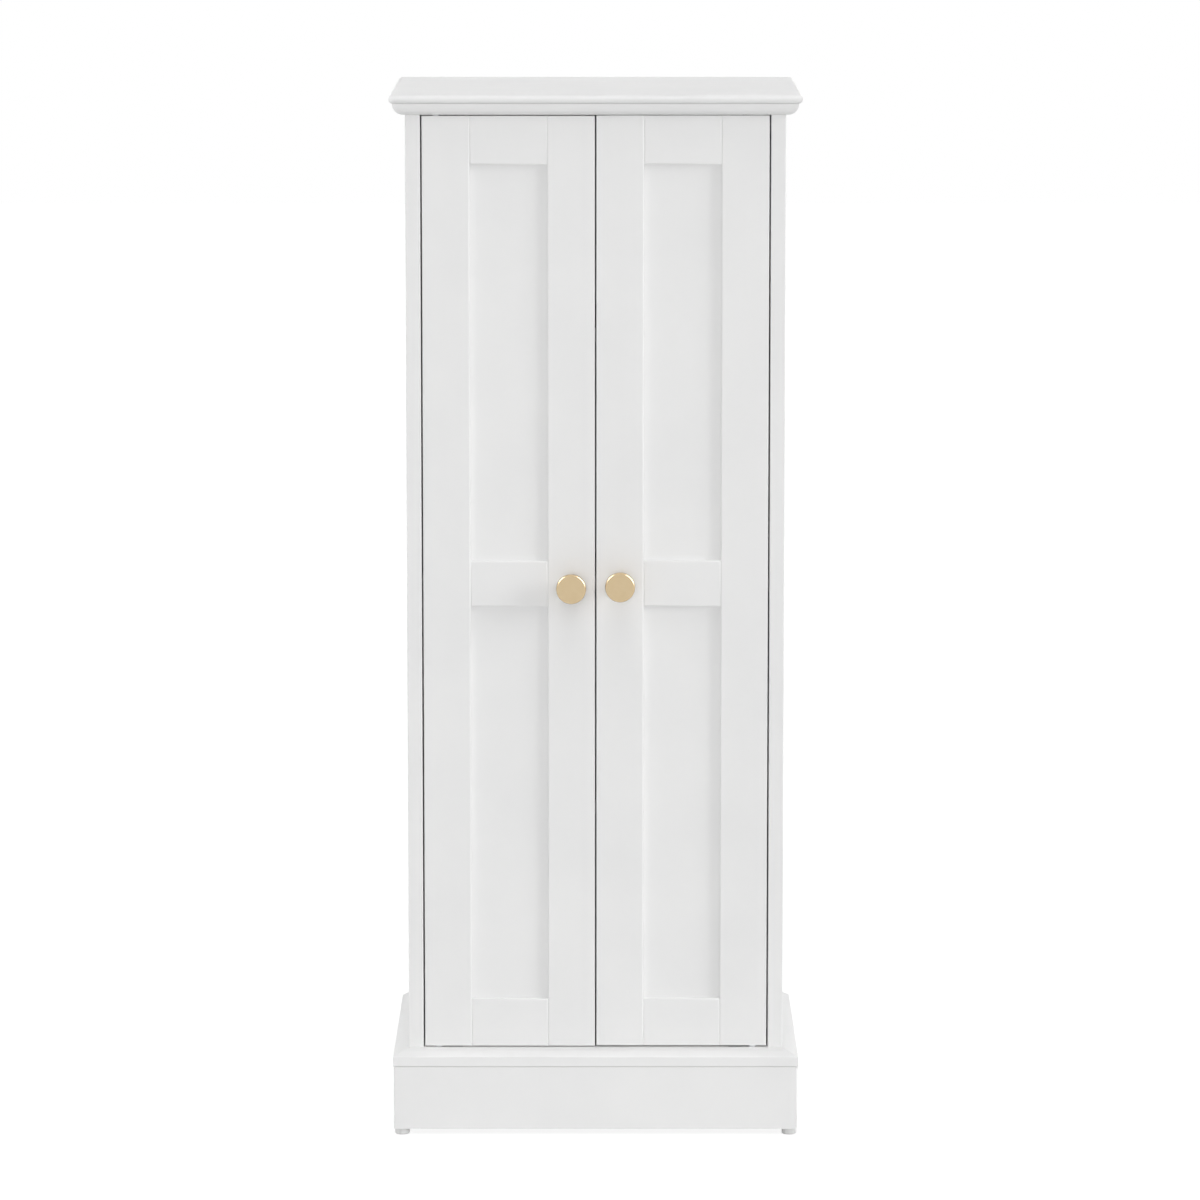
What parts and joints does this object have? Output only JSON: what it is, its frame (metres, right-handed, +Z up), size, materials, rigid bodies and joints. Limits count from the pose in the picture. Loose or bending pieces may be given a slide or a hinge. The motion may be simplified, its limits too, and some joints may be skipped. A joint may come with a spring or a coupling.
{
  "type": "bathroom cabinet",
  "caption": "Tall narrow bathroom storage cabinet with moulded crown, two inset framed doors with round knobs, shelves inside and a plinth base on glides.",
  "frame": {"origin": "on the floor, under the middle of the whole outline, knobs included", "axes": "+Z up, -Y towards the front where the doors are, +X to the right as seen from the front"},
  "size_m": [0.41, 0.3144, 1.053],
  "materials": {
    "white_paint": "satin white paint over fine wood board",
    "back_board": "thin board painted white",
    "raw_wood": "bare wood",
    "brushed_brass": "satin champagne gold",
    "steel": "bright zinc plate",
    "zinc": "dull cast zinc",
    "white_plastic": "plain white moulding"
  },
  "bodies": {
    "cabinet": {"crown_board": "white_paint", "base_board": "white_paint", "left_side_panel": "white_paint", "right_side_panel": "white_paint", "back_panel": "back_board", "rear_rail": "white_paint", "fixed_shelf": "white_paint", "upper_shelf": "white_paint", "lower_shelf": "white_paint", "upper_shelf_pins": "steel", "lower_shelf_pins": "steel", "plinth_front": "white_paint", "plinth_left": "white_paint", "plinth_right": "white_paint", "plinth_back": "white_paint", "plinth_blocks": "raw_wood", "plinth_screws": "steel", "glides": "white_plastic", "glide_nails": "steel", "cam_discs": "zinc", "cam_bolts": "steel", "dowels": "raw_wood", "back_screws": "steel", "cabinet_leaves": "steel", "cabinet_leaf_screws": "steel", "pivot_washers": "steel", "catch_housings": "white_plastic", "catch_magnets": "steel", "catch_screws": "steel"},
    "left_door": {"left_outer_stile": "white_paint", "left_inner_stile": "white_paint", "left_top_rail": "white_paint", "left_middle_rail": "white_paint", "left_bottom_rail": "white_paint", "left_upper_panel": "white_paint", "left_lower_panel": "white_paint", "left_door_leaves": "steel", "left_leaf_screws": "steel", "left_knob": "brushed_brass", "left_knob_screw": "steel", "left_strike_plate": "zinc", "left_strike_screw": "steel"},
    "right_door": {"right_outer_stile": "white_paint", "right_inner_stile": "white_paint", "right_top_rail": "white_paint", "right_middle_rail": "white_paint", "right_bottom_rail": "white_paint", "right_upper_panel": "white_paint", "right_lower_panel": "white_paint", "right_door_leaves": "steel", "right_leaf_screws": "steel", "right_knob": "brushed_brass", "right_knob_screw": "steel", "right_strike_plate": "zinc", "right_strike_screw": "steel"}
  },
  "joints": [
    {"name": "left_door_hinge", "type": "hinge", "parent": "cabinet", "child": "left_door", "pos_m": [-0.1588, -0.12665, 0.56], "axis": [0, 0, -1], "range_deg": [0, 135]},
    {"name": "right_door_hinge", "type": "hinge", "parent": "cabinet", "child": "right_door", "pos_m": [0.1588, -0.12665, 0.56], "axis": [0, 0, 1], "range_deg": [0, 135]}
  ]
}
